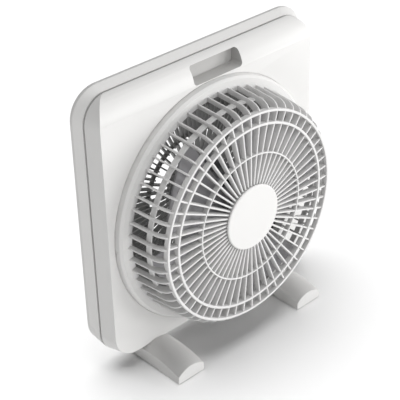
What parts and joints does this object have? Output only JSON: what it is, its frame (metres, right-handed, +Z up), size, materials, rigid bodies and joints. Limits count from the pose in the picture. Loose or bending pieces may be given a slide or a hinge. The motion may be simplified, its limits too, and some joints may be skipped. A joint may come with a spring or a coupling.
{
  "type": "box fan",
  "caption": "Square box fan with a round barred front guard, a finger recess at the top, two arched feet, a motor with a broad-bladed impeller, and a rear speed knob.",
  "frame": {"origin": "on the floor, under the middle of the overall bounding box", "axes": "+Z up, the front grille faces -Y, +X to the viewer's right when facing the front"},
  "size_m": [0.375, 0.136, 0.392],
  "materials": {
    "white_plastic": "satin",
    "guard_plastic": "satin",
    "impeller_plastic": "satin",
    "black_plastic": "satin",
    "zinc_steel": "zinc plated",
    "shaft_steel": "ground",
    "bell_metal": "painted pressed steel",
    "lamination_steel": "stacked laminations",
    "winding_copper": "enamelled copper",
    "bronze": "sintered",
    "wire_sheath": "smooth",
    "pad_rubber": "matte"
  },
  "bodies": {
    "fan": {"front_shell": "white_plastic", "rear_shell": "white_plastic", "front_guard": "guard_plastic", "guard_center_cap": "white_plastic", "rear_grille": "guard_plastic", "left_foot": "white_plastic", "right_foot": "white_plastic", "stator_core": "lamination_steel", "stator_windings": "winding_copper", "motor_front_bell": "bell_metal", "motor_rear_bell": "bell_metal", "front_bearing": "bronze", "rear_bearing": "bronze", "motor_bolts": "zinc_steel", "mount_screws": "zinc_steel", "speed_switch": "black_plastic", "switch_nut": "zinc_steel", "power_inlet": "black_plastic", "inlet_pins": "zinc_steel", "lead_wires": "wire_sheath", "housing_screws": "zinc_steel", "foot_screws": "zinc_steel", "foot_pads": "pad_rubber", "grille_screws": "zinc_steel"},
    "rotor": {"motor_shaft": "shaft_steel", "rotor_core": "lamination_steel", "impeller": "impeller_plastic", "hub_nut": "zinc_steel"},
    "knob": {"speed_knob": "black_plastic", "switch_spindle": "shaft_steel"}
  },
  "joints": [
    {"name": "impeller_spin", "type": "hinge", "parent": "fan", "child": "rotor", "pos_m": [0, 0, 0.19], "axis": [0, -1, 0], "continuous": true},
    {"name": "knob_turn", "type": "hinge", "parent": "fan", "child": "knob", "pos_m": [0.128, 0.05, 0.352], "axis": [0, -1, 0], "range_deg": [0, 135]}
  ]
}
